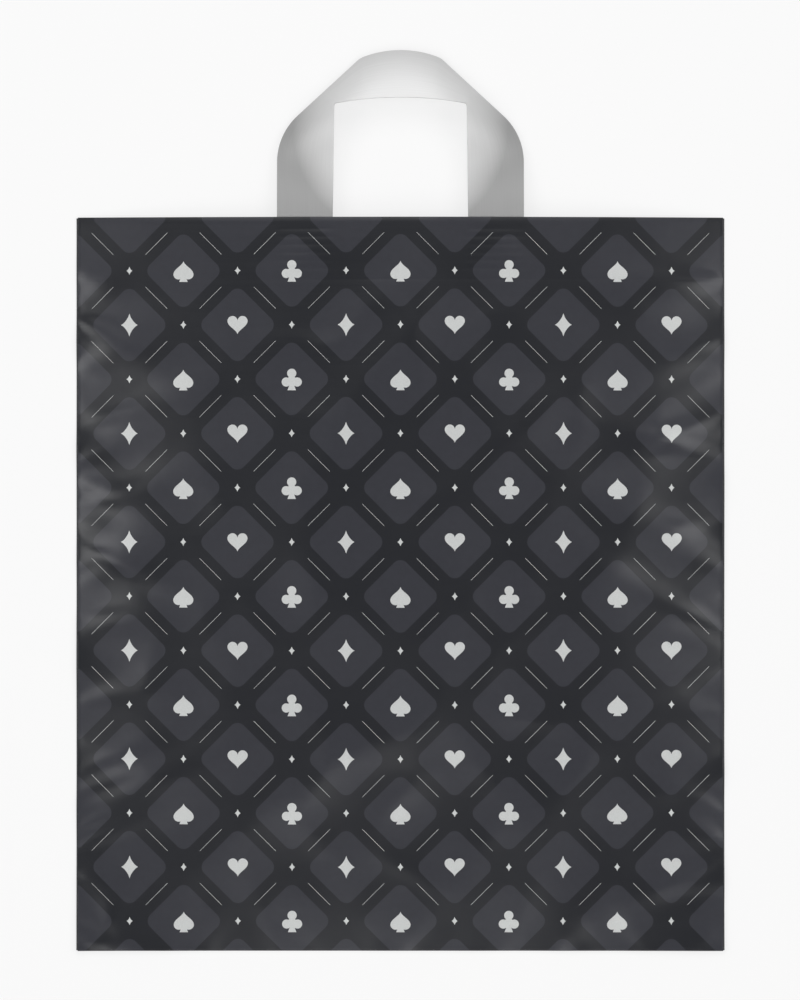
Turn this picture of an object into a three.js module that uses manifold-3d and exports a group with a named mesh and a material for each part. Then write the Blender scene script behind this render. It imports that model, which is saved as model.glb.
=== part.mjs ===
// A soft-loop carrier bag of polyethylene film, lying flat with its front up.
// Millimetres. +Z is up from the surface that the bag lies on, +Y runs from the bottom fold towards the
// handles, and the origin is the middle of the footprint.
import * as THREE from "three";
import { mergeVertices } from "three/addons/utils/BufferGeometryUtils.js";
import Module from "manifold-3d";

// Bag: one length of film, folded at the bottom, turned in along the mouth and welded up both sides
const bagWidth = 380; // outside one side weld to outside the other
const bagHeight = 430; // bottom fold to top fold
const hemDepth = 40; // film turned in along the mouth
const filmThickness = 0.09;
const layerGap = 0.12; // air between two layers of film that lie together
const weldWidth = 1.6; // side weld, from the outer edge inwards
const weldCrown = 0.25; // how far the weld bead stands over the layers that it joins
const weldChamfer = 0.12; // at the bead's two upper edges
const weldInset = 0.6; // of the bead's ends from the bottom and top folds
const pocketDepth = 14; // how far the front lifts off the back at half height
const mouthGap = 11; // how far the mouth stands open at its middle

// Handles: two loops of doubled film strip, each with both ends welded inside a hem
const stripThickness = 0.3;
const legWidth = 32.5; // where a leg leaves the mouth
const legGap = 79.5; // between the two legs of a loop, where they leave the mouth
const cornerGap = 77.3; // between the two inner corners of a loop
const handleReach = 98; // top fold of the bag to the outer edge of the crown
const crownWidth = 28.6; // of the strip as it lies at the top of the loop
const crownArch = 3.8; // rise of the crown's inner edge from corner to middle
const crownRise = 4.8; // rise of the crown's outer edge over the straight edges that it meets
const crownCorner = 10; // radius where it meets them
const neckWidth = 10.2; // of the strip as it lies where it turns the corner
const shoulderSlope = THREE.MathUtils.degToRad(42.65); // of the straight edge across the corner
const shoulderRadius = 36.7;
const stripInset = 8; // from the hem's free edge to the strip's end
const weldGap = 0.2; // between the strip and the hem that it is welded to
const cornerLift = 18; // of the strip's inner edge over its outer edge at the corners
const crownLift = 15; // the same at the middle of the crown
const stripBow = 0.5; // how far the strip's section bulges, as a share of its lift
const settleLength = 48; // from the mouth to where a loop has come down to its rest
const nestHeight = 2; // of the front loop over the rear one

// How finely the curved film is cut into flat facets
const filmColumns = 20;
const panelRows = 20;
const hemRows = 3;
const foldSteps = 4;
const legStations = 9;
const crownStations = 9;
const stripColumns = 5;

const footprintLength = bagHeight + handleReach;
const bottomY = -footprintLength / 2;
const topY = bottomY + bagHeight;
const layerPitch = filmThickness + layerGap;
const weldLength = hemDepth - stripInset; // of each strip end inside the hem
const filmSurface = filmThickness / 2;
const filmEdge = bagWidth / 2 - weldWidth / 2; // cut edge of the film, inside the weld bead
const pocketEdge = filmEdge - weldWidth / 4; // where the layers part, inside the weld bead

// Layers of film from the floor up: back panel, back hem, front hem, front panel
const [backPanel, backHem, frontHem, frontPanel] = [0, 1, 2, 3].map((n) => filmSurface + n * layerPitch);

// Height that the air in the bag adds to the front film: an arch from weld to weld, and a curve up the
// bag that passes through the pocket's depth at half height and the mouth's gap at the top.
function pocket(x, y) {
  const across = x / pocketEdge;
  const up = (y - bottomY) / bagHeight;
  const lift = up * (4 * pocketDepth - mouthGap + (2 * mouthGap - 4 * pocketDepth) * up);
  return Math.max(0, 1 - across * across) * lift;
}

// A closed solid of even thickness around a grid of points on its middle surface.
function sheetSolid(grid, thickness) {
  const rows = grid.length;
  const columns = grid[0].length;
  const near = (r, c) => grid[THREE.MathUtils.clamp(r, 0, rows - 1)][THREE.MathUtils.clamp(c, 0, columns - 1)];
  const positions = [];
  for (const side of [1, -1]) {
    for (let r = 0; r < rows; r++) {
      for (let c = 0; c < columns; c++) {
        const alongRows = near(r + 1, c).clone().sub(near(r - 1, c));
        const alongColumns = near(r, c + 1).clone().sub(near(r, c - 1));
        const normal = alongRows.cross(alongColumns).normalize();
        positions.push(...grid[r][c].clone().addScaledVector(normal, (side * thickness) / 2));
      }
    }
  }
  const upper = (r, c) => r * columns + c;
  const lower = (r, c) => rows * columns + upper(r, c);
  const faces = [];
  const quad = (a, b, c, d) => faces.push(a, b, c, a, c, d);
  for (let r = 0; r < rows - 1; r++) {
    for (let c = 0; c < columns - 1; c++) {
      quad(upper(r, c), upper(r + 1, c), upper(r + 1, c + 1), upper(r, c + 1));
      quad(lower(r, c), lower(r, c + 1), lower(r + 1, c + 1), lower(r + 1, c));
    }
    quad(upper(r, 0), lower(r, 0), lower(r + 1, 0), upper(r + 1, 0));
    const last = columns - 1;
    quad(upper(r, last), upper(r + 1, last), lower(r + 1, last), lower(r, last));
  }
  for (let c = 0; c < columns - 1; c++) {
    quad(upper(0, c), upper(0, c + 1), lower(0, c + 1), lower(0, c));
    const last = rows - 1;
    quad(upper(last, c), lower(last, c), lower(last, c + 1), upper(last, c + 1));
  }
  return new THREE.BufferGeometry()
    .setAttribute("position", new THREE.Float32BufferAttribute(positions, 3))
    .setIndex(faces);
}

const wasm = await Module();
wasm.setup();

// A closed geometry as a solid that can be joined.
function toSolid(geometry) {
  const bare = geometry.clone().deleteAttribute("normal").deleteAttribute("uv");
  const merged = mergeVertices(bare);
  const vertProperties = merged.getAttribute("position").array;
  const triVerts = new Uint32Array(merged.index.array);
  return new wasm.Manifold(new wasm.Mesh({ numProp: 3, vertProperties, triVerts }));
}

function toGeometry(solid) {
  const { vertProperties, triVerts } = solid.getMesh();
  return new THREE.BufferGeometry()
    .setAttribute("position", new THREE.BufferAttribute(vertProperties, 3))
    .setIndex(new THREE.BufferAttribute(triVerts, 1));
}

// Rows of the film's grid, each with its place up the bag, its height at the welds, and whether the
// pocket lifts it.
function straightRows(fromY, toY, steps, z, lifted) {
  return Array.from({ length: steps + 1 }, (_, k) => ({ y: fromY + ((toY - fromY) * k) / steps, z, lifted }));
}

// A half-round fold that carries the film from one layer to another. Direction is 1 at the mouth and -1
// at the bottom. The rows at its two ends belong to the straight film on either side.
function foldRows(centreY, fromZ, toZ, direction, lifted) {
  const radius = Math.abs(toZ - fromZ) / 2;
  const middleZ = (fromZ + toZ) / 2;
  return Array.from({ length: foldSteps - 1 }, (_, k) => {
    const turn = (Math.PI * (k + 1)) / foldSteps;
    return {
      y: centreY + direction * radius * Math.sin(turn),
      z: middleZ + (fromZ - middleZ) * Math.cos(turn),
      lifted,
    };
  });
}

// The film from the free edge of the back hem, round the bottom of the bag, to that of the front hem.
function filmGrid() {
  const mouthY = topY - filmSurface - layerPitch / 2;
  const hemY = topY - hemDepth;
  const lowY = bottomY + filmSurface + (frontPanel - backPanel) / 2;
  const rows = [
    ...straightRows(hemY, mouthY, 1, backHem, false),
    ...foldRows(mouthY, backHem, backPanel, 1, false),
    ...straightRows(mouthY, lowY, 1, backPanel, false),
    ...foldRows(lowY, backPanel, frontPanel, -1, false),
    ...straightRows(lowY, mouthY, panelRows, frontPanel, true),
    ...foldRows(mouthY, frontPanel, frontHem, 1, true),
    ...straightRows(mouthY, hemY, hemRows, frontHem, true),
  ];
  const xs = Array.from({ length: filmColumns + 1 }, (_, k) => pocketEdge * ((2 * k) / filmColumns - 1));
  xs.unshift(-filmEdge);
  xs.push(filmEdge);
  return rows.map(({ y, z, lifted }) => xs.map((x) => new THREE.Vector3(x, y, z + (lifted ? pocket(x, y) : 0))));
}

// The bead that the hot knife leaves along a side, through all the layers. Side is -1 or 1.
function sideWeld(side) {
  const base = filmThickness / 3;
  const crest = frontPanel + filmSurface + weldCrown;
  const inner = side * (bagWidth / 2 - weldWidth);
  const outer = (side * bagWidth) / 2;
  const section = new THREE.Shape([
    new THREE.Vector2(inner, base),
    new THREE.Vector2(outer, base),
    new THREE.Vector2(outer, crest - weldChamfer),
    new THREE.Vector2(outer - side * weldChamfer, crest),
    new THREE.Vector2(inner + side * weldChamfer, crest),
    new THREE.Vector2(inner, crest - weldChamfer),
  ]);
  const bead = new THREE.ExtrudeGeometry(section, { depth: bagHeight - 2 * weldInset, bevelEnabled: false });
  return bead.rotateX(Math.PI / 2).translate(0, topY - weldInset, 0);
}

function bagBody() {
  const film = toSolid(sheetSolid(filmGrid(), filmThickness));
  const welds = [-1, 1].map((side) => toSolid(sideWeld(side)));
  return toGeometry(welds.reduce((joined, weld) => joined.add(weld), film));
}

// Left half of a loop as it lies, from the mouth to the middle of the crown. The outer edge runs straight
// up the leg, round the shoulder, straight across the corner and over the crown.
const innerX = legGap / 2;
const outerX = innerX + legWidth;
const cornerX = cornerGap / 2;
const innerTop = handleReach - crownWidth;
const cornerY = innerTop - crownArch;
const acrossCornerAtMiddle = cornerY + neckWidth / Math.cos(shoulderSlope) + cornerX * Math.tan(shoulderSlope);
const crownEndX = (acrossCornerAtMiddle - handleReach + crownRise) / Math.tan(shoulderSlope);
const crownRadius = (crownEndX * crownEndX + crownRise * crownRise) / (2 * crownRise);
const archRadius = (cornerX * cornerX + crownArch * crownArch) / (2 * crownArch);
const archTurn = Math.asin(cornerX / archRadius);
const shoulderTurn = Math.PI / 2 - shoulderSlope;
const shoulderEndX = -outerX + shoulderRadius * (1 - Math.cos(shoulderTurn));
const shoulderEndY = acrossCornerAtMiddle + shoulderEndX * Math.tan(shoulderSlope);
const shoulderY = shoulderEndY - shoulderRadius * Math.sin(shoulderTurn);

// The crown's corner is a round that touches the straight edge and, from inside, the crown's arc. Its middle
// is on a line beside the straight edge, which passes this far over the arc's middle.
const crownY = handleReach - crownRadius;
const besideEdge = acrossCornerAtMiddle - crownCorner / Math.cos(shoulderSlope) - crownY;
const alongEdge = Math.sqrt((crownRadius - crownCorner) ** 2 - (besideEdge * Math.cos(shoulderSlope)) ** 2);
const crownCornerX = (alongEdge - besideEdge * Math.sin(shoulderSlope)) * Math.cos(shoulderSlope);
const crownCornerY = crownY + besideEdge + crownCornerX * Math.tan(shoulderSlope);
const crownTurn = Math.asin(-crownCornerX / (crownRadius - crownCorner));

const outerEdge = new THREE.Path();
outerEdge.moveTo(-outerX, 0);
outerEdge.lineTo(-outerX, shoulderY);
outerEdge.absarc(shoulderRadius - outerX, shoulderY, shoulderRadius, Math.PI, Math.PI - shoulderTurn, true);
outerEdge.absarc(crownCornerX, crownCornerY, crownCorner, Math.PI / 2 + shoulderSlope, Math.PI / 2 + crownTurn, true);
outerEdge.absarc(0, crownY, crownRadius, Math.PI / 2 + crownTurn, Math.PI / 2, true);

// Share of the outer edge's length at which it passes nearest to the inner corner.
const pastShoulder =
  (cornerY - shoulderEndY) * Math.sin(shoulderSlope) + (-cornerX - shoulderEndX) * Math.cos(shoulderSlope);
const neckShare = (shoulderY + shoulderRadius * shoulderTurn + pastShoulder) / outerEdge.getLength();

const smooth = (t) => THREE.MathUtils.smoothstep(t, 0, 1);

// Stations across the strip: the two edges as they lie, and how far the inner one is lifted.
function legStation(share) {
  return {
    outer: outerEdge.getPointAt(neckShare * share),
    inner: new THREE.Vector2(-THREE.MathUtils.lerp(innerX, cornerX, share), cornerY * share),
    lift: cornerLift * smooth(share),
  };
}

function crownStation(share) {
  const turn = archTurn * (1 - share);
  return {
    outer: outerEdge.getPointAt(neckShare + (1 - neckShare) * share),
    inner: new THREE.Vector2(
      -archRadius * Math.sin(turn),
      innerTop - archRadius * (1 - Math.cos(turn)),
    ),
    lift: THREE.MathUtils.lerp(cornerLift, crownLift, smooth(share)),
  };
}

function loopStations() {
  const ends = [-weldLength, -weldLength / 2].map((y) => ({
    outer: new THREE.Vector2(-outerX, y),
    inner: new THREE.Vector2(-innerX, y),
    lift: 0,
  }));
  const leg = Array.from({ length: legStations }, (_, k) => legStation(k / legStations));
  const crown = Array.from({ length: crownStations + 1 }, (_, k) => crownStation(k / crownStations));
  const left = [...ends, ...leg, ...crown];
  const mirrored = ({ outer, inner, lift }) => ({
    outer: new THREE.Vector2(-outer.x, outer.y),
    inner: new THREE.Vector2(-inner.x, inner.y),
    lift,
  });
  return [...left, ...left.slice(0, -1).reverse().map(mirrored)];
}

// A loop whose ends follow the hem and whose outer edge comes down to its rest past the mouth.
// hemHeight gives the middle of the strip inside the hem.
function handleLoop(hemHeight, restHeight) {
  const grid = loopStations().map(({ outer, inner, lift }) =>
    Array.from({ length: stripColumns }, (_, k) => {
      const share = k / (stripColumns - 1);
      const { x, y } = outer.clone().lerp(inner, share);
      const bowed = share + stripBow * share * (1 - share);
      const inHem = hemHeight(x, topY + Math.min(0, y));
      const atRest = restHeight + lift * bowed;
      const z = THREE.MathUtils.lerp(inHem, atRest, smooth(y / settleLength));
      return new THREE.Vector3(x, topY + y, z);
    }),
  );
  return sheetSolid(grid, stripThickness);
}

const stripSurface = stripThickness / 2;
const weldOffset = filmSurface + weldGap + stripSurface;
const rearRest = stripSurface;

const film = new THREE.MeshStandardMaterial({ color: 0x2e2f34, roughness: 0.4, metalness: 0 });
const strip = new THREE.MeshStandardMaterial({ color: 0xc4c4c5, roughness: 0.35, metalness: 0 });

function part(name, geometry, material) {
  const mesh = new THREE.Mesh(geometry, material);
  mesh.name = name;
  return mesh;
}

const bag = new THREE.Group();
bag.add(
  part("bag_body", bagBody(), film),
  part("front_handle", handleLoop((x, y) => frontHem + pocket(x, y) - weldOffset, rearRest + nestHeight), strip),
  part("rear_handle", handleLoop(() => backHem + weldOffset, rearRest), strip),
);

export default bag;
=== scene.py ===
import math

import bmesh
import bpy
import numpy as np
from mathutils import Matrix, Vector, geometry, noise


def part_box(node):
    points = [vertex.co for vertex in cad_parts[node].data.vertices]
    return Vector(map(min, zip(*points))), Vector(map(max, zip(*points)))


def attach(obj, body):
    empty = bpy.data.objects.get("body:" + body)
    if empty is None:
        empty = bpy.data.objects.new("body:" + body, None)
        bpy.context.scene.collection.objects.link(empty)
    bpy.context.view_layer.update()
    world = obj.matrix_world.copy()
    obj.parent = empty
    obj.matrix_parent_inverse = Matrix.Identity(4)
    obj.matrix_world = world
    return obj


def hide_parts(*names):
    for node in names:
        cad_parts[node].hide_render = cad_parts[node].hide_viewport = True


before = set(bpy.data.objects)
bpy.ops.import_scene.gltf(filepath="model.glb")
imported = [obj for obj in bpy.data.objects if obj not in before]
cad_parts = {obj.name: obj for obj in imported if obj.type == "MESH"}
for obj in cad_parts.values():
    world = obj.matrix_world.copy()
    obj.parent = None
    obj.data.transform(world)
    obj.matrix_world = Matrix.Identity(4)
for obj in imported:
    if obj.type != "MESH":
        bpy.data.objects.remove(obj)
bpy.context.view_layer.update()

# Film of the bag: one length of low-density polyethylene, folded across the bottom, turned in along the
# mouth as a hem and cut and welded up both sides in one stroke of a hot knife. A little air holds the front
# up off the back, and the film is puckered where the welds have shrunk it.
mm = 0.001
film_low, film_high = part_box("bag_body")
bottom_y, top_y = film_low[1], film_high[1]
bag_height = top_y - bottom_y
half_width = film_high[0]
weld_width = 1.6 * mm
film_edge = half_width - weld_width / 2
pocket_edge = film_edge - weld_width / 4
film_thickness = 0.09 * mm
layer_pitch = film_thickness + 0.12 * mm
hem_depth = 40 * mm
hem_y = top_y - hem_depth
pocket_depth = 14 * mm
mouth_gap = 11 * mm
leg_inner, leg_outer = 39.75 * mm, 72.25 * mm
chance = np.random.default_rng(12)


def smooth(t):
    """A soft step from 0 to 1, as t goes from 0 to 1."""
    t = np.clip(t, 0, 1)
    return t * t * (3 - 2 * t)


def wander(length, step):
    """Smooth random values from 0 to 1 along a line, as a function of place, with a knot every step."""
    knots = chance.random(int(length / step) + 4)

    def value(along):
        at = np.clip((along + step) / step, 0, len(knots) - 2)
        low = np.floor(at).astype(int)
        return knots[low] + (knots[low + 1] - knots[low]) * smooth(at - low)

    return value


# A pucker is a short ridge that starts narrow at a weld or fold, leans a little, widens and dies out in the
# panel. The puckers of one edge give the height that they add at a place along it and away from it.
def puckers(run, spacing, reach, height):
    lean, width = (-0.5, 0.5), (3.8 * mm, 7 * mm)
    narrow, widening = 0.55, 0.8
    ridges, at = [], spacing[0]
    while at < run - spacing[0]:
        ridges.append([at] + [chance.uniform(*limits) for limits in (reach, height, lean, width)])
        at += chance.uniform(*spacing)

    def rise(along, away):
        total = np.zeros(np.broadcast(along, away).shape)
        for place, length, tall, slant, girth in ridges:
            share = away / length
            beside = (along - place - slant * away) / (girth * (narrow + widening * share))
            total += tall * share * np.exp(1 - share) * np.exp(-(beside ** 2))
        return total

    return rise


side_puckers = [
    puckers(bag_height, spacing=(9 * mm, 24 * mm), reach=(11 * mm, 34 * mm), height=(0.4 * mm, 1.3 * mm))
    for _ in range(2)
]
bottom_puckers = puckers(
    2 * half_width, spacing=(14 * mm, 36 * mm), reach=(10 * mm, 28 * mm), height=(0.25 * mm, 0.8 * mm)
)
side_waves = [wander(bag_height, step=21 * mm) for _ in range(2)]
bottom_wave = wander(2 * half_width, step=26 * mm)


# Soft creases of handled film: a net of low rounded ridges about as far apart as size, from 0 to 1. Nets of
# different levels don't line up.
def creases(x, y, size, level):
    roundness, steepness = 0.06, 3
    net = np.vectorize(lambda a, b: noise.noise((a, b, level)))
    return (1 - np.hypot(net(x / size, y / size), roundness)) ** steepness


# Height of the welded edge itself over the floor: the shrunk seam waves a little, and the corners curl.
side_wave_height, bottom_wave_height, wave_reach = 2.4 * mm, 1.2 * mm, 13 * mm
curl_height, curl_reach = 2.2 * mm, 18 * mm


def edge_rise(x, y):
    from_side = half_width - np.abs(x)
    along = y - bottom_y
    wave = np.where(x < 0, side_waves[0](along), side_waves[1](along))
    rise = side_wave_height * wave ** 2 * np.exp(-from_side / wave_reach)
    rise += bottom_wave_height * bottom_wave(x + half_width) ** 2 * np.exp(-along / wave_reach)
    return rise + curl_height * np.exp(-np.hypot(from_side, along) / curl_reach)


# Height that the air adds to the front film, with its puckers, its slack and the drag lines under the
# handles. Up the middle of the bag the air gives a parabola: nothing at the bottom fold, pocket_depth half
# way up and mouth_gap at the top. The doubled film of the hem is stiffer, so the puckers die out in it and
# it keeps little of the slack, which is two nets of creases, each with its height, size and level.
hem_stiffening = 30 * mm
drag_height, drag_width, drag_reach, drag_lean = 0.45 * mm, 13 * mm, 93.75 * mm, 0.16
slack_nets = ((3.2 * mm, 120 * mm, 3.7), (1.3 * mm, 52 * mm, 8.2))
slack_start, slack_in_hem, slack_drop = 0.2, 0.35, 2.2 * mm


def front_rise(x, y):
    across = np.maximum(0, 1 - (x / pocket_edge) ** 2)
    up = np.clip((y - bottom_y) / bag_height, 0, 1)
    pocket = across * up * (4 * pocket_depth - mouth_gap + (2 * mouth_gap - 4 * pocket_depth) * up)
    from_side = half_width - np.abs(x)
    along = y - bottom_y
    single = 1 - smooth((y - hem_y) / hem_stiffening)
    ridges = np.where(x < 0, side_puckers[0](along, from_side), side_puckers[1](along, from_side)) * single
    ridges += bottom_puckers(x + half_width, along)
    for side in (-1, 1):
        middle = side * (0.5 * (leg_inner + leg_outer) + drag_lean * np.maximum(0, top_y - y))
        drag = np.exp(-(((x - middle) / drag_width) ** 2)) * np.exp(-np.abs(hem_y - y) / drag_reach)
        ridges += drag_height * drag
    slack = sum(tall * creases(x, y, size, level) for tall, size, level in slack_nets) - slack_drop
    room = across * smooth(up / slack_start) * (slack_in_hem + (1 - slack_in_hem) * single)
    return np.maximum(0, pocket + ridges + slack * room)


# Marks that the welding bars press into the hem: a ribbed patch over each strip end and one long seal line.
weld_bars = top_y - 7 * mm - 4.6 * mm * np.arange(6)
seal_y = hem_y + 3.5 * mm
patch_edge = 1.5 * mm
rib_height, rib_width = 0.12 * mm, 0.9 * mm
seal_height, seal_width = 0.08 * mm, 0.8 * mm


def hem_press(x, y):
    on_strip = smooth((np.abs(x) - leg_inner) / patch_edge) * smooth((leg_outer - np.abs(x)) / patch_edge)
    ribs = sum(np.exp(-(((y - bar) / rib_width) ** 2)) for bar in weld_bars)
    seal = np.exp(-(((y - seal_y) / seal_width) ** 2))
    return rib_height * on_strip * ribs + seal_height * seal


# Rows of points up the hem and the panels. A hem has a few round each press mark, at steps in millimetres,
# and the back panel, which is flat past its curled corners, has fewer than the front.
front_count, back_count, column_count = 196, 24, 133
fold_y = top_y - film_thickness / 2 - layer_pitch / 2
low_y = bottom_y + film_thickness / 2 + 1.5 * layer_pitch
flat_y = low_y + 40 * mm


def hem_rows(round_mark):
    pressed = [mark + step * mm for mark in [seal_y, *weld_bars] for step in round_mark]
    return np.unique([hem_y, *pressed, fold_y - 3 * mm, fold_y])


inner_rows = hem_rows((-1.3, 0, 1.3))
outer_rows = hem_rows((-1.6, -0.75, 0, 0.75, 1.6))
near_fold = low_y + np.array([0, 0.4, 1.1]) * mm
near_curl = low_y + np.arange(2.5, 40, 2.5) * mm
front_rows = np.concatenate([near_fold, np.linspace(low_y, hem_y, front_count)[1:-1], outer_rows])
back_rows = np.concatenate([near_fold, near_curl, np.linspace(flat_y, hem_y, back_count)[:-1], inner_rows])


# A half-round fold that carries the film from one layer to another, without the rows at its two ends.
def fold(centre, start, end, direction, steps):
    turn = np.linspace(0, math.pi, steps + 1)[1:-1]
    middle, radius = (start + end) / 2, abs(end - start) / 2
    return list(zip(centre + direction * radius * np.sin(turn), middle + (start - middle) * np.cos(turn)))


# Middle surface of the film, row by row from the free edge of the back hem round the bottom to that of the
# front hem. Each row has its place up the bag, its height in the stack, how far it is front film, which way
# the press marks go, and its place in the print, which runs on over the folds.
hem_steps, bottom_steps = 6, 8
back, back_hem, front_hem, front = (film_thickness / 2 + n * layer_pitch for n in range(4))
rows = [(y, back_hem, 0, 1, 2 * top_y - y) for y in inner_rows]
rows += [(y, z, 0, 0, top_y) for y, z in fold(fold_y, back_hem, back, 1, hem_steps)]
rows += [(y, back, 0, 1, y) for y in back_rows[::-1]]
for step, (y, z) in enumerate(fold(low_y, back, front, -1, bottom_steps), start=1):
    rows.append((y, z, step / bottom_steps, 0, bottom_y))
rows += [(y, front, 1, -1, y) for y in front_rows]
rows += [(y, z, 1, 0, top_y) for y, z in fold(fold_y, front, front_hem, 1, hem_steps)]
rows += [(y, front_hem, 1, -1, 2 * top_y - y) for y in inner_rows[::-1]]
row_y, row_z, row_front, row_press, row_print = (np.array(column)[:, None] for column in zip(*rows))

# The columns across the bag stand closer together towards the welds.
crowding = 1.12
columns = np.linspace(-1, 1, column_count)
columns = np.sign(columns) * (1 - (1 - np.abs(columns)) ** crowding) * pocket_edge
columns = np.concatenate([[-film_edge], columns, [film_edge]])[None, :]
film_x = columns + 0 * row_y
film_y = row_y + 0 * columns
film_z = row_z + row_front * front_rise(film_x, film_y) + edge_rise(film_x, film_y)
film_z += row_press * hem_press(film_x, film_y)
scene = bpy.context.scene


def put(name, data):
    """A new object in the scene."""
    piece = bpy.data.objects.new(name, data)
    scene.collection.objects.link(piece)
    return piece


# Closed sheet of even thickness around a grid of points on its middle surface. It returns the sheet and, for
# each vertex, its row and column in the grid. Faces of the outer side take material 0, of the inner side 1.
def sheet_piece(name, grid, thickness):
    sharp_angle = math.radians(50)
    count, width = grid.shape[:2]
    normal = np.cross(np.gradient(grid, axis=1), np.gradient(grid, axis=0))
    normal *= thickness / 2 / np.linalg.norm(normal, axis=2, keepdims=True)
    points = np.concatenate([(grid + normal).reshape(-1, 3), (grid - normal).reshape(-1, 3)])
    over = np.arange(count * width).reshape(count, width)
    under = over + count * width
    a, b, c, d = over[:-1, :-1], over[:-1, 1:], over[1:, 1:], over[1:, :-1]
    outer = np.stack([a, b, c, d], axis=2).reshape(-1, 4)
    inner = np.stack([a, d, c, b], axis=2).reshape(-1, 4) + count * width
    rims = [np.stack([under[0, :-1], under[0, 1:], over[0, 1:], over[0, :-1]], axis=1),
            np.stack([over[-1, :-1], over[-1, 1:], under[-1, 1:], under[-1, :-1]], axis=1),
            np.stack([over[:-1, 0], over[1:, 0], under[1:, 0], under[:-1, 0]], axis=1),
            np.stack([under[:-1, -1], under[1:, -1], over[1:, -1], over[:-1, -1]], axis=1)]
    faces = np.concatenate([outer, inner] + rims)
    mesh = bpy.data.meshes.new(name)
    mesh.from_pydata(points.tolist(), [], faces.tolist())
    slots = np.zeros(len(faces), dtype=np.int32)
    slots[len(outer):len(outer) + len(inner)] = 1
    mesh.polygons.foreach_set("material_index", slots)
    mesh.polygons.foreach_set("use_smooth", np.ones(len(faces), dtype=bool))
    mesh.set_sharp_from_angle(angle=sharp_angle)
    place = np.tile(np.arange(count * width), 2)
    return put(name, mesh), place // width, place % width


def lay_map(piece, name, places):
    """A UV map that gives each vertex its own place."""
    uv_map = piece.data.uv_layers.new(name=name)
    corners = np.empty(len(piece.data.loops), dtype=np.int32)
    piece.data.loops.foreach_get("vertex_index", corners)
    uv_map.data.foreach_set("uv", places[corners].astype(np.float32).ravel())


# The print's map is in millimetres from the middle of the top fold.
film_grid = np.stack([film_x, film_y, film_z], axis=2)
bag_film, vertex_row, vertex_column = sheet_piece("bag_film", film_grid, film_thickness)
print_place = np.stack([columns[0, vertex_column], row_print[vertex_row, 0] - top_y], axis=1) / mm
lay_map(bag_film, "print", print_place)


def linear(code):
    """A linear colour from its sRGB hex code."""
    parts = [int(code[i:i + 2], 16) / 255 for i in (1, 3, 5)]
    return tuple(p / 12.92 if p <= 0.04045 else ((p + 0.055) / 1.055) ** 2.4 for p in parts) + (1,)


def add(tree, kind, inputs=None, **settings):
    """A node with its settings, and its inputs set to values or linked to other nodes' sockets."""
    made = tree.nodes.new(kind)
    for name, value in settings.items():
        setattr(made, name, value)
    for name, value in (inputs or {}).items():
        if isinstance(value, bpy.types.NodeSocket):
            tree.links.new(value, made.inputs[name])
        else:
            made.inputs[name].default_value = value
    return made


def new_finish(name):
    """A new material and its empty tree."""
    finish = bpy.data.materials.new(name)
    finish.use_nodes = True
    finish.node_tree.nodes.clear()
    return finish, finish.node_tree


# Printed polyethylene film, blown and then gravure printed: satin, with faint die lines along the web, a
# soft crinkle from handling, and two charcoal inks laid as a trellis of round-cornered diamonds. The die
# lines are drawn coarser than they are, so that they show. The trellis is in millimetres on the print's map.
line_spacing, line_run = 1.1 * mm, 170 * mm
line_scale = (1 / line_run, 1 / line_spacing, 1 / line_run)
mottle_size = 4 * mm
crinkle_size = 14 * mm
diamond_pitch = 44.9
diamond_half = 16.5
diamond_corner = 5.2
diamond_flat = diamond_half - diamond_corner
ink_blur = 0.12
print_rise = 0.35
half_pitch = diamond_pitch / 2
printed_film, tree = new_finish("printed_polyethylene_film")
place = add(tree, "ShaderNodeUVMap", uv_map="print")
centred = add(tree, "ShaderNodeVectorMath", {0: place.outputs["UV"], 1: (0, print_rise, 0)},
              operation="SUBTRACT")
turned = add(tree, "ShaderNodeMapping", {"Vector": centred.outputs[0], "Rotation": (0, 0, math.pi / 4),
                                        "Location": (half_pitch, half_pitch, 0)})
cell = add(tree, "ShaderNodeVectorMath", {0: turned.outputs[0], 1: (half_pitch, half_pitch, 1),
                                         2: (-half_pitch, -half_pitch, -1)}, operation="WRAP")
folded = add(tree, "ShaderNodeVectorMath", {0: cell.outputs[0]}, operation="ABSOLUTE")
past = add(tree, "ShaderNodeVectorMath", {0: folded.outputs[0], 1: (diamond_flat, diamond_flat, 0)},
           operation="SUBTRACT")
outside = add(tree, "ShaderNodeVectorMath", {0: past.outputs[0], 1: (0, 0, 0)}, operation="MAXIMUM")
reach = add(tree, "ShaderNodeVectorMath", {0: outside.outputs[0]}, operation="LENGTH")
inside = add(tree, "ShaderNodeMapRange", {"Value": reach.outputs["Value"],
                                         "From Min": diamond_corner + ink_blur,
                                         "From Max": diamond_corner - ink_blur})
inks = add(tree, "ShaderNodeMix", {"Factor": inside.outputs["Result"], "A": linear("#181a20"),
                                  "B": linear("#303138")}, data_type="RGBA")
spot = add(tree, "ShaderNodeTexCoord")
mottle = add(tree, "ShaderNodeTexNoise", {"Vector": spot.outputs["Object"], "Scale": 1 / mottle_size,
                                         "Detail": 3})
evenness = add(tree, "ShaderNodeMapRange", {"Value": mottle.outputs["Fac"], "To Min": 0.9, "To Max": 1.1})
tone = add(tree, "ShaderNodeHueSaturation", {"Color": inks.outputs["Result"],
                                            "Value": evenness.outputs["Result"]})
web = add(tree, "ShaderNodeMapping", {"Vector": spot.outputs["Object"], "Scale": line_scale})
die_lines = add(tree, "ShaderNodeTexNoise", {"Vector": web.outputs[0], "Scale": 1, "Detail": 2})
crinkle = add(tree, "ShaderNodeTexNoise", {"Vector": spot.outputs["Object"], "Scale": 1 / crinkle_size,
                                          "Detail": 2})
gloss = add(tree, "ShaderNodeMapRange", {"Value": die_lines.outputs["Fac"], "To Min": 0.27, "To Max": 0.35})
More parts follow.
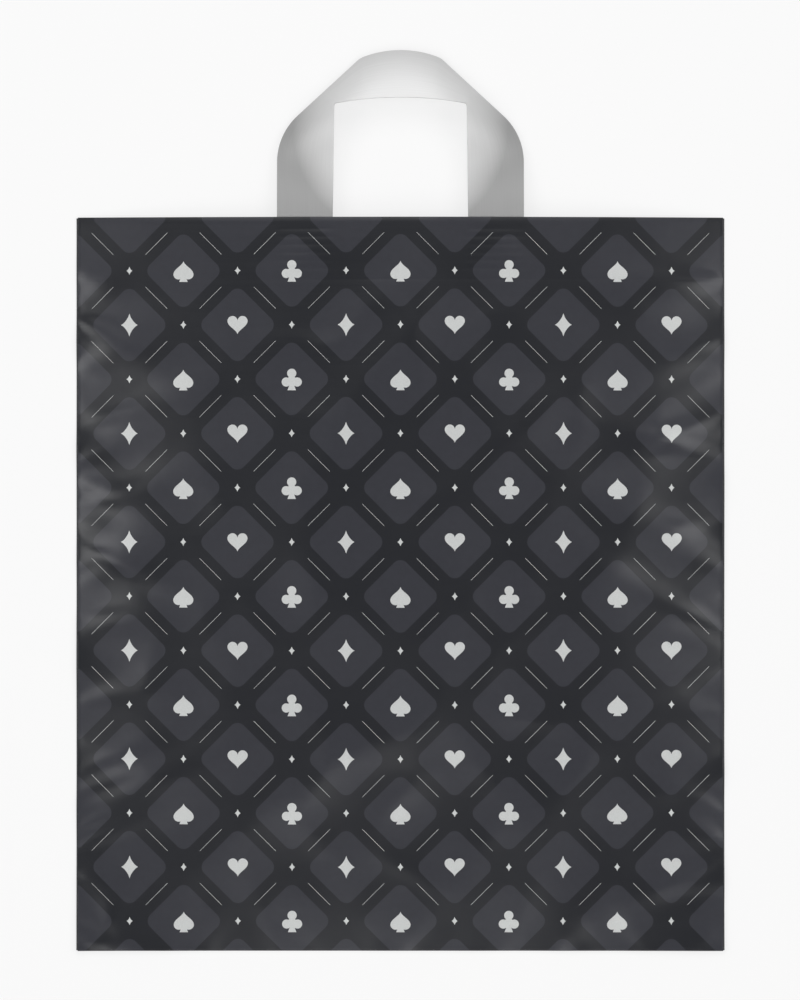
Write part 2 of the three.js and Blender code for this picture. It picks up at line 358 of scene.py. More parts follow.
soft = add(tree, "ShaderNodeBump", {"Height": crinkle.outputs["Fac"], "Strength": 0.25,
                                   "Distance": 0.4 * mm})
fine = add(tree, "ShaderNodeBump", {"Height": die_lines.outputs["Fac"], "Normal": soft.outputs["Normal"],
                                   "Strength": 0.2, "Distance": 0.02 * mm})
shader = add(tree, "ShaderNodeBsdfPrincipled", {
    "Base Color": tone.outputs["Color"], "IOR": 1.51, "Roughness": gloss.outputs["Result"],
    "Normal": fine.outputs["Normal"]})
add(tree, "ShaderNodeOutputMaterial", {"Surface": shader.outputs[0]})

# The same film on its unprinted side: charcoal right through, a little duller than the print.
bare_film, tree = new_finish("bare_polyethylene_film")
spot = add(tree, "ShaderNodeTexCoord")
web = add(tree, "ShaderNodeMapping", {"Vector": spot.outputs["Object"], "Scale": line_scale})
die_lines = add(tree, "ShaderNodeTexNoise", {"Vector": web.outputs[0], "Scale": 1, "Detail": 2})
tint = add(tree, "ShaderNodeMix", {"Factor": die_lines.outputs["Fac"], "A": linear("#303135"),
                                  "B": linear("#3b3c40")}, data_type="RGBA")
gloss = add(tree, "ShaderNodeMapRange", {"Value": die_lines.outputs["Fac"], "To Min": 0.42, "To Max": 0.55})
fine = add(tree, "ShaderNodeBump", {"Height": die_lines.outputs["Fac"], "Strength": 0.3,
                                   "Distance": 0.02 * mm})
shader = add(tree, "ShaderNodeBsdfPrincipled", {
    "Base Color": tint.outputs["Result"], "IOR": 1.51, "Roughness": gloss.outputs["Result"],
    "Normal": fine.outputs["Normal"]})
add(tree, "ShaderNodeOutputMaterial", {"Surface": shader.outputs[0]})
bag_film.data.materials.append(printed_film)
bag_film.data.materials.append(bare_film)

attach(bag_film, "root")
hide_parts("bag_body")

# Side welds: the bead of melted film that the hot knife leaves along each side, through all the layers. It
# is lumpy, glossier than the film, and follows the edge as it waves.
bead_width, bead_height, bead_inset = 1.3 * mm, 0.85 * mm, 0.5 * mm
bead_count = 360
lump_share, lump_spacing = 0.5, 5 * mm


def new_tree(name, inputs):
    """A geometry tree with named inputs, and the sockets that give their values inside it."""
    tree = bpy.data.node_groups.new(name, "GeometryNodeTree")
    tree.interface.new_socket("Geometry", in_out="OUTPUT", socket_type="NodeSocketGeometry")
    for label, kind in {"Start": "Geometry", **inputs}.items():
        tree.interface.new_socket(label, in_out="INPUT", socket_type="NodeSocket" + kind)
    return tree, add(tree, "NodeGroupInput").outputs


bead_tree, given = new_tree("weld_bead", {"Width": "Float", "Height": "Float", "Lumps": "Float",
                                          "Lump Spacing": "Float", "Seed": "Float", "Material": "Material"})
path = add(bead_tree, "GeometryNodeMeshToCurve", {"Mesh": given["Start"]})
upright = add(bead_tree, "GeometryNodeSetCurveNormal", {"Curve": path.outputs[0]}, mode="Z_UP")
where = add(bead_tree, "GeometryNodeInputPosition")
density = add(bead_tree, "ShaderNodeMath", {0: 1.0, 1: given["Lump Spacing"]}, operation="DIVIDE")
lumps = add(bead_tree, "ShaderNodeTexNoise", {"Vector": where.outputs[0], "W": given["Seed"],
                                             "Scale": density.outputs[0], "Detail": 1},
            noise_dimensions="4D")
centred = add(bead_tree, "ShaderNodeMath", {0: lumps.outputs["Fac"], 1: 0.5}, operation="SUBTRACT")
girth = add(bead_tree, "ShaderNodeMath", {0: centred.outputs[0], 1: given["Lumps"], 2: 1.0},
            operation="MULTIPLY_ADD")
swollen = add(bead_tree, "GeometryNodeSetCurveRadius", {"Curve": upright.outputs[0],
                                                       "Radius": girth.outputs[0]})
ring = add(bead_tree, "GeometryNodeCurvePrimitiveCircle", {"Resolution": 10, "Radius": 0.5}, mode="RADIUS")
flat = add(bead_tree, "ShaderNodeCombineXYZ", {"X": given["Width"], "Y": given["Height"], "Z": 1.0})
section = add(bead_tree, "GeometryNodeTransform", {"Geometry": ring.outputs[0], "Scale": flat.outputs[0]})
bead = add(bead_tree, "GeometryNodeCurveToMesh", {"Curve": swollen.outputs[0],
                                                 "Profile Curve": section.outputs[0], "Fill Caps": True})
real = add(bead_tree, "GeometryNodeRealizeInstances", {"Geometry": bead.outputs[0]})
faced = add(bead_tree, "GeometryNodeSetMaterial", {"Geometry": real.outputs[0],
                                                  "Material": given["Material"]})
add(bead_tree, "NodeGroupOutput", {"Geometry": faced.outputs[0]})


# A plain mesh of what a tree makes from a starting mesh. The tree's inputs are set by their identifiers.
def grown(name, start, tree, values):
    seed_piece = put(name + "_start", start)
    modifier = seed_piece.modifiers.new(tree.name, "NODES")
    modifier.node_group = tree
    for item in tree.interface.items_tree:
        if item.in_out == "INPUT" and item.name in values:
            modifier[item.identifier] = values[item.name]
    evaluated = seed_piece.evaluated_get(bpy.context.evaluated_depsgraph_get())
    mesh = bpy.data.meshes.new_from_object(evaluated)
    mesh.name = name
    bpy.data.objects.remove(seed_piece)
    bpy.data.meshes.remove(start)
    work = bmesh.new()
    work.from_mesh(mesh)
    bmesh.ops.remove_doubles(work, verts=work.verts, dist=1e-7)
    bmesh.ops.recalc_face_normals(work, faces=work.faces)
    work.to_mesh(mesh)
    work.free()
    return put(name, mesh)


# Melted film: the inks are burnt into one charcoal, with the gloss of plastic that has set from a melt.
streak_size = 2.5 * mm
melted_film, tree = new_finish("melted_polyethylene_weld")
spot = add(tree, "ShaderNodeTexCoord")
streaks = add(tree, "ShaderNodeTexNoise", {"Vector": spot.outputs["Object"], "Scale": 1 / streak_size,
                                          "Detail": 2})
tint = add(tree, "ShaderNodeMix", {"Factor": streaks.outputs["Fac"], "A": linear("#1f2023"),
                                  "B": linear("#2e2f33")}, data_type="RGBA")
gloss = add(tree, "ShaderNodeMapRange", {"Value": streaks.outputs["Fac"], "To Min": 0.22, "To Max": 0.4})
shader = add(tree, "ShaderNodeBsdfPrincipled", {"Base Color": tint.outputs["Result"], "IOR": 1.51,
                                               "Roughness": gloss.outputs["Result"]})
add(tree, "ShaderNodeOutputMaterial", {"Surface": shader.outputs[0]})

for side, seed, name in ((-1, 2.0, "left_side_weld"), (1, 4.0, "right_side_weld")):
    ys = np.linspace(bottom_y + bead_inset, top_y - bead_inset, bead_count)
    xs = np.full_like(ys, side * (half_width - bead_width / 2))
    zs = edge_rise(xs, ys) + bead_height / 2
    line = bpy.data.meshes.new(name)
    line.from_pydata(np.stack([xs, ys, zs], axis=1).tolist(), [(k, k + 1) for k in range(len(ys) - 1)], [])
    weld = grown(name, line, bead_tree, {"Width": bead_width, "Height": bead_height, "Lumps": lump_share,
                                         "Lump Spacing": lump_spacing, "Seed": seed,
                                         "Material": melted_film})
    weld.data.polygons.foreach_set("use_smooth", np.ones(len(weld.data.polygons), dtype=bool))
    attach(weld, "root")

# Silver print: small card suits in the diamonds, a pip on each crossing and a hairline along each band, laid
# on the front and the back of the film in one pass of silver ink. The ink is drawn thicker than it is, so
# that it stays clear of the film's facets.
suit_size = 5.9 * mm
pip_size = 2.1 * mm
hairline_length, hairline_width = 18.1 * mm, 0.185 * mm
suit_points, lozenge_points, pip_points, hairline_stops = 72, 48, 24, 14
die_grain = 1.5 * mm
ink_thickness, ink_sunk, ink_start = 0.13 * mm, 0.02 * mm, 50 * mm


# Outline of a mark from its reach in each direction, and a die of it filled with small triangles that can
# follow the film.
def outline(reach, count, corners=()):
    even = np.linspace(0, 2 * math.pi, count + 1)[:-1]
    turns = np.unique(np.round(np.concatenate([even, np.mod(corners, 2 * math.pi)]), 6))
    far = reach(turns)
    return np.stack([far * np.cos(turns), far * np.sin(turns)], axis=1)


def die(name, edge):
    count = len(edge)
    low, high = edge.min(axis=0) + die_grain / 2, edge.max(axis=0)
    inner = [(x, y) for x in np.arange(low[0], high[0], die_grain)
             for y in np.arange(low[1], high[1], die_grain)]
    points = [tuple(p) for p in edge] + inner
    border = [(k, (k + 1) % count) for k in range(count)]
    verts, _, faces, _, _, _ = geometry.delaunay_2d_cdt(points, border, [], 1, 1e-6)
    mesh = bpy.data.meshes.new(name)
    mesh.from_pydata([(v.x, v.y, 0) for v in verts], [], faces)
    return put(name, mesh)


# Reach of a lozenge with hollow sides, of a heart with its tip down or up, of a club's three lobes, and of
# the flared foot under a spade or a club. Their sizes are shares of the suit's, and the heart is the usual
# curve of sines and cosines, 16 to each side.
def lozenge_reach(turns, size):
    wide, tall, hollow = 0.84, 1.14, 0.75
    across, up = np.abs(np.cos(turns)) / wide, np.abs(np.sin(turns)) / tall
    return size * (across ** hollow + up ** hollow) ** (-1 / hollow)


def heart_reach(turns, tip):
    t = np.linspace(0, 2 * math.pi, 721)
    x = 16 * np.sin(t) ** 3
    y = tip * (13 * np.cos(t) - 5 * np.cos(2 * t) - 2 * np.cos(3 * t) - np.cos(4 * t) + 2)
    angle = np.mod(np.arctan2(y, x), 2 * math.pi)
    order = np.argsort(angle)
    return suit_size * np.interp(turns, angle[order], np.hypot(x, y)[order] / 16, period=2 * math.pi)


def club_reach(turns):
    core, lobe = 0.35, 0.46
    lobes = ((0, 0.56), (-0.54, -0.3), (0.54, -0.3))
    far = np.full_like(turns, core)
    for cx, cy in lobes:
        toward = cx * np.cos(turns) + cy * np.sin(turns)
        hit = lobe ** 2 - (cx * cx + cy * cy - toward * toward)
        edge = toward + np.sqrt(np.maximum(0, hit))
        far = np.maximum(far, np.where((hit > 0) & (toward > 0), edge, 0))
    return suit_size * far


foot_half, foot_drop = 0.42, 1.12


def foot_reach(turns):
    touch = 1e-6
    down = -np.sin(turns)
    within = (down > 0) & (np.abs(np.cos(turns)) <= down * foot_half / foot_drop + touch)
    return np.where(within, suit_size * foot_drop / np.maximum(down, touch), 0)


foot_turn = math.atan2(foot_half, foot_drop)
foot_corners = [-math.pi / 2 + side * (foot_turn + past) for side in (-1, 1) for past in (0, 1e-4)]
stops = np.linspace(-hairline_length / 2, hairline_length / 2, hairline_stops)
outlines = {
    "Spade": outline(lambda t: np.maximum(heart_reach(t, -1), foot_reach(t)), suit_points, foot_corners),
    "Club": outline(lambda t: np.maximum(club_reach(t), foot_reach(t)), suit_points, foot_corners),
    "Heart": outline(lambda t: heart_reach(t, 1), suit_points),
    "Lozenge": outline(lambda t: lozenge_reach(t, suit_size), lozenge_points),
    "Pip": outline(lambda t: lozenge_reach(t, pip_size), pip_points),
    "Hairline": np.array([(x, -hairline_width / 2) for x in stops]
                         + [(x, hairline_width / 2) for x in stops[::-1]]),
}
dies = {name: die(name.lower() + "_die", edge) for name, edge in outlines.items()}

# The print's tree lays the marks out on a grid of places one step apart. Even places are the middles of the
# diamonds and odd ones the crossings, counted as on a chequer.
print_tree, given = new_tree("silver_print", {
    "Step": "Float", "Columns": "Int", "Rows": "Int", "Top": "Float", "Side": "Float", "Clear": "Float",
    "Ink": "Float", "Sunk": "Float", "Film": "Object", "Material": "Material",
    **{name: "Object" for name in dies}})
where = add(print_tree, "GeometryNodeInputPosition")
per_step = add(print_tree, "ShaderNodeCombineXYZ", {"X": given["Step"], "Y": given["Step"], "Z": 1.0})
in_steps = add(print_tree, "ShaderNodeVectorMath", {0: where.outputs[0], 1: per_step.outputs[0]},
               operation="DIVIDE")
counted = add(print_tree, "ShaderNodeSeparateXYZ", {0: in_steps.outputs[0]})


# A grid with its rows and columns centred, and whether each of its places is odd. Extra is its columns past
# the input's count.
def lattice(extra):
    across = add(print_tree, "ShaderNodeMath", {0: given["Columns"], 1: float(extra)}, operation="ADD")
    wide = add(print_tree, "ShaderNodeMath", {0: across.outputs[0], 1: 1.0}, operation="SUBTRACT")
    tall = add(print_tree, "ShaderNodeMath", {0: given["Rows"], 1: 1.0}, operation="SUBTRACT")
    width = add(print_tree, "ShaderNodeMath", {0: wide.outputs[0], 1: given["Step"]}, operation="MULTIPLY")
    height = add(print_tree, "ShaderNodeMath", {0: tall.outputs[0], 1: given["Step"]}, operation="MULTIPLY")
    grid = add(print_tree, "GeometryNodeMeshGrid", {"Size X": width.outputs[0], "Size Y": height.outputs[0],
                                                   "Vertices X": across.outputs[0],
                                                   "Vertices Y": given["Rows"]})
    shifted = add(print_tree, "ShaderNodeMath", {0: counted.outputs["X"], 1: 0.5 * extra}, operation="ADD")
    both = add(print_tree, "ShaderNodeMath", {0: shifted.outputs[0], 1: counted.outputs["Y"]},
               operation="ADD")
    whole = add(print_tree, "ShaderNodeMath", {0: both.outputs[0]}, operation="ROUND")
    odd = add(print_tree, "ShaderNodeMath", {0: whole.outputs[0], 1: 2.0}, operation="FLOORED_MODULO")
    return grid.outputs["Mesh"], odd.outputs[0]


# Suits go by turns: odd rows take one pair of them and even rows the other, and in a row the two alternate.
# The nudge keeps a whole number from being rounded down to the one below it.
nudge = 0.01
nodes_grid, nodes_odd = lattice(0)
nodes_even = add(print_tree, "ShaderNodeMath", {0: 1.0, 1: nodes_odd}, operation="SUBTRACT")
suits = add(print_tree, "GeometryNodeJoinGeometry")
for name in ("Lozenge", "Heart", "Club", "Spade"):
    stamp = add(print_tree, "GeometryNodeObjectInfo", {"Object": given[name], "As Instance": True})
    print_tree.links.new(stamp.outputs["Geometry"], suits.inputs[0])
half_column = add(print_tree, "ShaderNodeMath", {0: counted.outputs["X"], 1: 2.0}, operation="DIVIDE")
nudged = add(print_tree, "ShaderNodeMath", {0: half_column.outputs[0], 1: nudge}, operation="ADD")
pair = add(print_tree, "ShaderNodeMath", {0: nudged.outputs[0]}, operation="FLOOR")
turn_about = add(print_tree, "ShaderNodeMath", {0: pair.outputs[0], 1: 2.0}, operation="FLOORED_MODULO")
row_whole = add(print_tree, "ShaderNodeMath", {0: counted.outputs["Y"]}, operation="ROUND")
row_odd = add(print_tree, "ShaderNodeMath", {0: row_whole.outputs[0], 1: 2.0}, operation="FLOORED_MODULO")
choice = add(print_tree, "ShaderNodeMath", {0: row_odd.outputs[0], 1: 2.0, 2: turn_about.outputs[0]},
             operation="MULTIPLY_ADD")
suit_marks = add(print_tree, "GeometryNodeInstanceOnPoints", {
    "Points": nodes_grid, "Selection": nodes_even.outputs[0], "Instance": suits.outputs[0],
    "Pick Instance": True, "Instance Index": choice.outputs[0]})
pip = add(print_tree, "GeometryNodeObjectInfo", {"Object": given["Pip"], "As Instance": True})
pip_marks = add(print_tree, "GeometryNodeInstanceOnPoints", {
    "Points": nodes_grid, "Selection": nodes_odd, "Instance": pip.outputs["Geometry"]})

# Hairlines lie along the bands, which slant one way and the other by turns.
bands_grid, bands_odd = lattice(1)
slant = add(print_tree, "ShaderNodeMapRange", {"Value": bands_odd, "To Min": math.pi / 4,
                                              "To Max": -math.pi / 4})
spin = add(print_tree, "ShaderNodeCombineXYZ", {"Z": slant.outputs["Result"]})
hairline = add(print_tree, "GeometryNodeObjectInfo", {"Object": given["Hairline"], "As Instance": True})
line_marks = add(print_tree, "GeometryNodeInstanceOnPoints", {
    "Points": bands_grid, "Rotation": spin.outputs[0], "Instance": hairline.outputs["Geometry"]})

# The rows of nodes start one step below the top of the print and the rows of bands half a step below it.
node_marks = add(print_tree, "GeometryNodeJoinGeometry")
print_tree.links.new(suit_marks.outputs[0], node_marks.inputs[0])
print_tree.links.new(pip_marks.outputs[0], node_marks.inputs[0])
marks = add(print_tree, "GeometryNodeJoinGeometry")
for laid_out, lower in ((node_marks, 0.5), (line_marks, 0.0)):
    half_rows = add(print_tree, "ShaderNodeMath", {0: given["Rows"], 1: 0.5, 2: lower},
                    operation="MULTIPLY_ADD")
    drop = add(print_tree, "ShaderNodeMath", {0: half_rows.outputs[0], 1: given["Step"]},
               operation="MULTIPLY")
    middle = add(print_tree, "ShaderNodeMath", {0: given["Top"], 1: drop.outputs[0]}, operation="SUBTRACT")
    shift = add(print_tree, "ShaderNodeCombineXYZ", {"Y": middle.outputs[0]})
    placed = add(print_tree, "GeometryNodeTransform", {"Geometry": laid_out.outputs[0],
                                                      "Translation": shift.outputs[0]})
    print_tree.links.new(placed.outputs[0], marks.inputs[0])
stamped = add(print_tree, "GeometryNodeRealizeInstances", {"Geometry": marks.outputs[0]})

# Each point drops onto the film from its own side, a little way into it, and the ink builds up from there.
film_info = add(print_tree, "GeometryNodeObjectInfo", {"Object": given["Film"]})
away = add(print_tree, "ShaderNodeCombineXYZ", {"Z": given["Side"]})
toward = add(print_tree, "ShaderNodeVectorMath", {0: away.outputs[0], "Scale": -1.0}, operation="SCALE")
lifted = add(print_tree, "ShaderNodeVectorMath", {0: away.outputs[0], 1: given["Clear"],
                                                 2: where.outputs[0]}, operation="MULTIPLY_ADD")
landing = add(print_tree, "GeometryNodeRaycast", {"Target Geometry": film_info.outputs["Geometry"],
                                                 "Source Position": lifted.outputs[0],
                                                 "Ray Direction": toward.outputs[0], "Ray Length": 1.0})
depth = add(print_tree, "ShaderNodeVectorMath", {0: toward.outputs[0], "Scale": given["Sunk"]},
            operation="SCALE")
laid = add(print_tree, "GeometryNodeSetPosition", {"Geometry": stamped.outputs[0],
                                                  "Position": landing.outputs["Hit Position"],
                                                  "Offset": depth.outputs[0]})
built = add(print_tree, "GeometryNodeExtrudeMesh", {"Mesh": laid.outputs[0], "Offset": away.outputs[0],
                                                   "Offset Scale": given["Ink"], "Individual": False})
turned_over = add(print_tree, "GeometryNodeFlipFaces", {"Mesh": laid.outputs[0]})
whole_marks = add(print_tree, "GeometryNodeJoinGeometry")
print_tree.links.new(built.outputs["Mesh"], whole_marks.inputs[0])
print_tree.links.new(turned_over.outputs[0], whole_marks.inputs[0])
welded = add(print_tree, "GeometryNodeMergeByDistance", {"Geometry": whole_marks.outputs[0],
                                                        "Distance": 1e-6})
real = add(print_tree, "GeometryNodeRealizeInstances", {"Geometry": welded.outputs[0]})
faced = add(print_tree, "GeometryNodeSetMaterial", {"Geometry": real.outputs[0],
                                                   "Material": given["Material"]})
add(print_tree, "NodeGroupOutput", {"Geometry": faced.outputs[0]})

# Silver gravure ink: fine aluminium flake in a clear varnish, which reads as a flat pale grey with a faint
# grain. The flake is drawn coarser than it is, so that it shows.
flake_size = 0.55 * mm
silver_ink, tree = new_finish("silver_gravure_ink")
spot = add(tree, "ShaderNodeTexCoord")
flake = add(tree, "ShaderNodeTexNoise", {"Vector": spot.outputs["Object"], "Scale": 1 / flake_size,
                                        "Detail": 1})
tint = add(tree, "ShaderNodeMix", {"Factor": flake.outputs["Fac"], "A": linear("#c2c4c3"),
                                  "B": linear("#d8dad9")}, data_type="RGBA")
gloss = add(tree, "ShaderNodeMapRange", {"Value": flake.outputs["Fac"], "To Min": 0.38, "To Max": 0.5})
shader = add(tree, "ShaderNodeBsdfPrincipled", {"Base Color": tint.outputs["Result"], "Metallic": 0.15,
                                               "Roughness": gloss.outputs["Result"]})
add(tree, "ShaderNodeOutputMaterial", {"Surface": shader.outputs[0]})

for side, name in ((1.0, "front_print"), (-1.0, "back_print")):
    values = {"Step": diamond_pitch * mm / math.sqrt(2), "Columns": 11, "Rows": 13,
              "Top": top_y + print_rise * mm, "Side": side, "Clear": ink_start, "Ink": ink_thickness,
              "Sunk": ink_sunk, "Film": bag_film, "Material": silver_ink, **dies}
    ink = grown(name, bpy.data.meshes.new(name + "_start"), print_tree, values)
    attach(ink, "root")
for piece in dies.values():
    bpy.data.objects.remove(piece)

# Handles: two loops of tubular film strip pressed flat, each with both ends welded inside a hem. They lie on
# the surface past the mouth, with the inner edge of each loop stood up because the strip will not bend flat.
strip_thickness = 0.3 * mm
leg_width = leg_outer - leg_inner
corner_inner = 38.65 * mm
handle_reach = 98 * mm
crown_width = 28.6 * mm
crown_arch = 3.8 * mm
crown_rise = 4.8 * mm
crown_corner = 10 * mm
neck_width = 10.2 * mm
shoulder_slope = math.radians(42.65)
shoulder_radius = 36.7 * mm
weld_length = 32 * mm
weld_gap = 0.2 * mm
corner_lift, crown_lift = 18 * mm, 15 * mm
strip_bow = 0.5
settle_length = 48 * mm
nest_height = 2 * mm
edge_limp, middle_limp = 1.6 * mm, 1.2 * mm

# Arcs of the loop's outline, with heights over the mouth. The outer edge runs straight across each corner,
# on a line that would pass over the loop's middle at middle_y.
inner_top = handle_reach - crown_width
corner_y = inner_top - crown_arch
arch_radius = (corner_inner ** 2 + crown_arch ** 2) / (2 * crown_arch)
arch_turn = math.asin(corner_inner / arch_radius)
steep, run_out, rise_out = math.tan(shoulder_slope), math.cos(shoulder_slope), math.sin(shoulder_slope)
middle_y = corner_y + neck_width / run_out + corner_inner * steep
shoulder_end = -leg_outer + shoulder_radius * (1 - rise_out)
shoulder_y = middle_y + shoulder_end * steep - shoulder_radius * run_out
crown_end = (middle_y - handle_reach + crown_rise) / steep
crown_radius = (crown_end ** 2 + crown_rise ** 2) / (2 * crown_rise)
crown_y = handle_reach - crown_radius
beside = middle_y - crown_corner / run_out - crown_y
along_edge = math.sqrt((crown_radius - crown_corner) ** 2 - (beside * run_out) ** 2)
round_x = (along_edge - beside * rise_out) * run_out
round_y = crown_y + beside + round_x * steep
crown_turn = math.asin(-round_x / (crown_radius - crown_corner))


def arc(x, y, radius, start, end, points=40):
    """Points round a centre, with turns counted from straight up."""
    turn = math.pi / 2 + np.linspace(start, end, points)
    return np.stack([x + radius * np.cos(turn), y + radius * np.sin(turn)], axis=1)


# Outer edge of the left half of a loop: up the leg, round the shoulder, straight across the corner and over
# the crown.
shoulder_x = shoulder_radius - leg_outer
edge = np.concatenate([[(-leg_outer, 0)],
                       arc(shoulder_x, shoulder_y, shoulder_radius, math.pi / 2, shoulder_slope),
                       arc(round_x, round_y, crown_corner, shoulder_slope, crown_turn),
                       arc(0, crown_y, crown_radius, crown_turn, 0)])
runs = np.concatenate([[0], np.cumsum(np.linalg.norm(np.diff(edge, axis=0), axis=1))])


def outer_edge(run):
    """Places on the outer edge at some runs from the mouth."""
    return np.stack([np.interp(run, runs, edge[:, 0]), np.interp(run, runs, edge[:, 1])], axis=1)


# Stations along the strip, each with its outer and inner edge as it lies and the lift of the inner one: up
# the weld, up the leg to the neck, where the outer edge is nearest the inner corner, and over the crown to
# its middle. The right half mirrors the left.
end_count, leg_count, crown_count, across_count = 40, 60, 45, 22
tries = np.linspace(0, runs[-1], 4001)
neck_run = tries[np.argmin(np.linalg.norm(outer_edge(tries) - [-corner_inner, corner_y], axis=1))]
end_share = np.linspace(0, 1, end_count + 1)[:-1]
leg_share = np.linspace(0, 1, leg_count + 1)[:-1]
crown_share = np.linspace(0, 1, crown_count + 1)
ends = np.stack([0 * end_share - leg_outer, weld_length * (end_share - 1)], axis=1)
outer = np.concatenate([ends, outer_edge(neck_run * leg_share),
                        outer_edge(neck_run + (runs[-1] - neck_run) * crown_share)])
turn = arch_turn * (1 - crown_share)
inner = np.concatenate([
    ends + [leg_width, 0],
    np.stack([(leg_inner - corner_inner) * leg_share - leg_inner, corner_y * leg_share], axis=1),
    np.stack([-arch_radius * np.sin(turn), inner_top - arch_radius * (1 - np.cos(turn))], axis=1)])
lift = np.concatenate([0 * end_share, corner_lift * smooth(leg_share),
                       corner_lift + (crown_lift - corner_lift) * smooth(crown_share)])
outer = np.concatenate([outer, outer[-2::-1] * [-1, 1]])
inner = np.concatenate([inner, inner[-2::-1] * [-1, 1]])
lift = np.concatenate([lift, lift[-2::-1]])[:, None]
# The film will not hold a sharp inner corner, so that edge is eased over a few millimetres.
for _ in range(2):
    inner[1:-1] = (inner[:-2] + 2 * inner[1:-1] + inner[2:]) / 4

# The strip's section bulges between its edges, and its outer edge ripples where it lies.
share = np.linspace(0, 1, across_count + 1)[None, :]
strip_plan = outer[:, None, :] * (1 - share[..., None]) + inner[:, None, :] * share[..., None]
strip_x, strip_y = strip_plan[..., 0], strip_plan[..., 1] + top_y
bowed = share + strip_bow * share * (1 - share)
settled = smooth((strip_y - top_y) / settle_length)
strip_run = np.cumsum(np.linalg.norm(np.diff(0.5 * (outer + inner), axis=0), axis=1))
strip_run = np.concatenate([[0], strip_run])
ripple, twist = wander(strip_run[-1], step=23 * mm), wander(strip_run[-1], step=31 * mm)
limp = edge_limp * ripple(strip_run)[:, None] ** 2 * (1 - share)
limp += middle_limp * twist(strip_run)[:, None] * share * (1 - share)

# Silver-white polyethylene strip: satin, with die lines along it, and painted light and shade in its colour:
# pale round a middle over the crown and grey down the legs, a radial gradient that stands in for how light
# falls on the loop. The lines are drawn coarser than they are, so that they show, at sizes in millimetres on
# the strip's own map.
strip_line_spacing, strip_line_run = 0.6, 50
# Painted light and shade: the strip's colour is pale near this middle over the crown and turns grey further
# out, down the legs.
painted_light_middle, painted_light_reach, painted_shade_reach = 51 * mm, 22 * mm, 63 * mm
handle_film, tree = new_finish("silver_white_polyethylene_strip")
spot = add(tree, "ShaderNodeTexCoord")
from_painted_light_middle = add(tree, "ShaderNodeMapping", {"Vector": spot.outputs["Object"], "Scale": (1, 1, 0),
                                           "Location": (0, -top_y - painted_light_middle, 0)})
radius = add(tree, "ShaderNodeVectorMath", {0: from_painted_light_middle.outputs[0]}, operation="LENGTH")
painted_shade_share = add(tree, "ShaderNodeMapRange", {"Value": radius.outputs["Value"], "From Min": painted_light_reach,
                                       "From Max": painted_shade_reach})
eased = add(tree, "ShaderNodeMath", {0: painted_shade_share.outputs["Result"], 1: 2.0}, operation="POWER")
# Painted highlight and shade: the pale colour stands in for light on the crown, the grey for shade on the
# legs.
tint = add(tree, "ShaderNodeMix", {"Factor": eased.outputs[0], "A": linear("#eaeaea"),
                                  "B": linear("#a0a0a0")}, data_type="RGBA")
line_place = add(tree, "ShaderNodeUVMap", uv_map="strip")
stretched = add(tree, "ShaderNodeMapping", {
    "Vector": line_place.outputs["UV"], "Scale": (1 / strip_line_spacing, 1 / strip_line_run, 1)})
die_lines = add(tree, "ShaderNodeTexNoise", {"Vector": stretched.outputs[0], "Scale": 1, "Detail": 3})
evenness = add(tree, "ShaderNodeMapRange", {"Value": die_lines.outputs["Fac"], "To Min": 0.94,
                                           "To Max": 1.06})
tone = add(tree, "ShaderNodeHueSaturation", {"Color": tint.outputs["Result"],
                                            "Value": evenness.outputs["Result"]})
gloss = add(tree, "ShaderNodeMapRange", {"Value": die_lines.outputs["Fac"], "To Min": 0.32, "To Max": 0.46})
fine = add(tree, "ShaderNodeBump", {"Height": die_lines.outputs["Fac"], "Strength": 0.3,
                                   "Distance": 0.03 * mm})
shader = add(tree, "ShaderNodeBsdfPrincipled", {
    "Base Color": tone.outputs["Color"], "IOR": 1.51, "Roughness": gloss.outputs["Result"],
    "Normal": fine.outputs["Normal"]})
add(tree, "ShaderNodeOutputMaterial", {"Surface": shader.outputs[0]})

# The ends follow the hems that they are welded to, and past the mouth each loop comes down to its rest: the
# rear one on the surface and the front one on the rear.
in_hem = np.minimum(strip_y, top_y)
edge_lift, pressed = edge_rise(strip_x, in_hem), hem_press(strip_x, in_hem)
weld_offset = film_thickness / 2 + weld_gap + strip_thickness / 2
front_weld = front_hem + front_rise(strip_x, in_hem) + edge_lift - pressed - weld_offset
rear_weld = back_hem + edge_lift + pressed + weld_offset
for name, node, under, weld, rest in (
    ("front_loop", "front_handle", "rear_loop", front_weld, strip_thickness / 2 + nest_height),
    ("rear_loop", "rear_handle", "floor", rear_weld, strip_thickness / 2),
):
    strip_z = weld * (1 - settled) + (rest + lift * bowed + limp) * settled
    strip_grid = np.stack([strip_x, strip_y, strip_z], axis=2)
    loop, vertex_row, vertex_column = sheet_piece(name, strip_grid, strip_thickness)
    strip_place = np.stack([share[0, vertex_column] * leg_width, strip_run[vertex_row]], axis=1) / mm
    lay_map(loop, "strip", strip_place)
    loop.data.materials.append(handle_film)
    loop.data.materials.append(handle_film)
    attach(loop, "root")
    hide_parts(node)

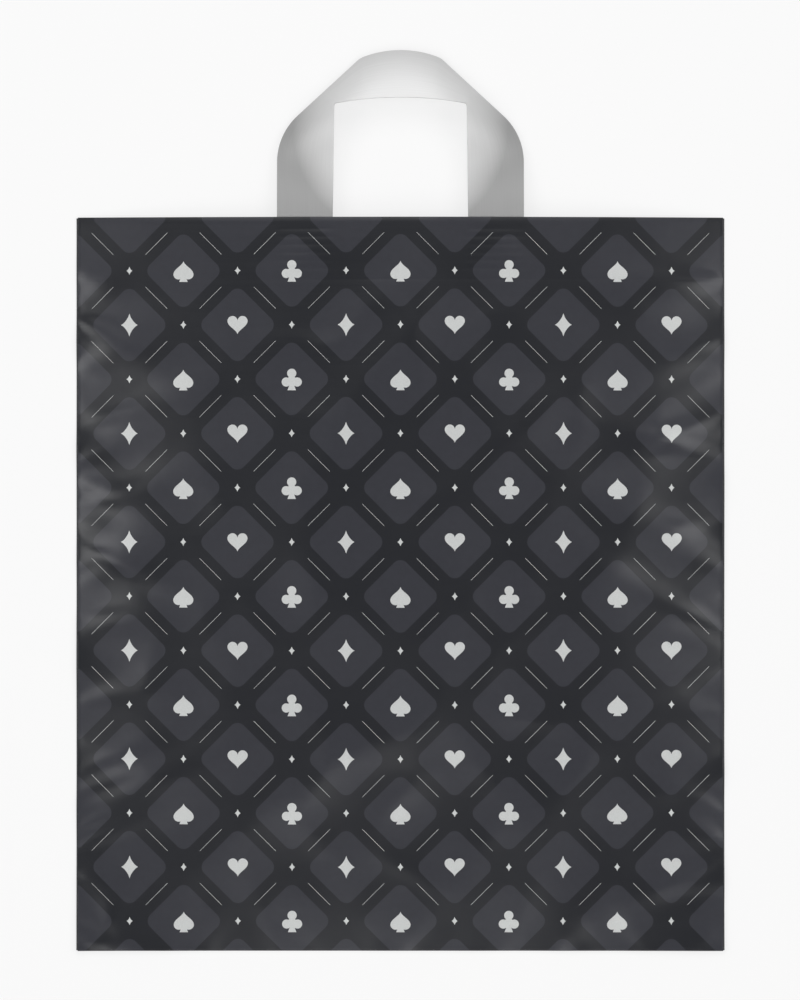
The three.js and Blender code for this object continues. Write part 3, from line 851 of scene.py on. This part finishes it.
# Floor: a plain sheet of pale paper that the bag lies on, just below the ink of the back print. It glows a
# little to the eye, so that it reads as white, and keeps the bag's shadow.
floor_size = 60
floor_drop = ink_thickness - ink_sunk + 0.01 * mm
glow_share = 0.72
bpy.ops.mesh.primitive_plane_add(size=floor_size)
floor = bpy.context.object
floor.name = "floor"
floor.location.z = -floor_drop
paper, tree = new_finish("white_backdrop_paper")
diffuse = add(tree, "ShaderNodeBsdfDiffuse", {"Color": linear("#f2f2f2")})
glow = add(tree, "ShaderNodeEmission", {"Color": (1, 1, 1, 1), "Strength": 1.0})
ray = add(tree, "ShaderNodeLightPath")
seen = add(tree, "ShaderNodeMath", {0: ray.outputs["Is Camera Ray"], 1: ray.outputs["Is Glossy Ray"]},
           operation="MAXIMUM")
seen = add(tree, "ShaderNodeMath", {0: seen.outputs[0], 1: ray.outputs["Is Transmission Ray"]},
           operation="MAXIMUM")
part = add(tree, "ShaderNodeMath", {0: seen.outputs[0], 1: glow_share}, operation="MULTIPLY")
blend = add(tree, "ShaderNodeMixShader", {0: part.outputs[0], 1: diffuse.outputs[0], 2: glow.outputs[0]})
add(tree, "ShaderNodeOutputMaterial", {"Surface": blend.outputs[0]})
floor.data.materials.append(paper)

# Light: four square soft boxes round the bag, out of the way of the film's reflection, in a dim even room.
# The box past the handles is the strongest.
box_size, box_away, box_height = 1.0, 1.3, 1.45
world = bpy.data.worlds.new("studio")
scene.world = world
world.use_nodes = True
tree = world.node_tree
tree.nodes.clear()
room = add(tree, "ShaderNodeBackground", {"Color": (1, 1, 1, 1), "Strength": 0.25})
add(tree, "ShaderNodeOutputWorld", {"Surface": room.outputs[0]})
for name, x, y, power in (("far_softbox", 0, 1, 11), ("left_softbox", -1, 0, 10),
                          ("right_softbox", 1, 0, 9), ("near_softbox", 0, -1, 8)):
    lamp = bpy.data.lights.new(name, "AREA")
    lamp.size = box_size
    lamp.energy = power
    softbox = put(name, lamp)
    softbox.location = (x * box_away, y * box_away, box_height)
    softbox.rotation_euler = (-softbox.location).to_track_quat("-Z", "Y").to_euler()

# Camera: straight above, with the handles at the top of the picture. The picture's longer side takes in
# picture_height at the bag's mean height, a little off the middle of the footprint.
picture_height, bag_level = 585.5 * mm, 6 * mm
picture_middle = (-0.26 * mm, 0.4 * mm)
lens = bpy.data.cameras.new("camera")
lens.lens = 180
lens.sensor_width = 36
camera = put("camera", lens)
camera.location = (*picture_middle, lens.lens / lens.sensor_width * picture_height + bag_level)
scene.camera = camera
scene.view_settings.view_transform = "Standard"
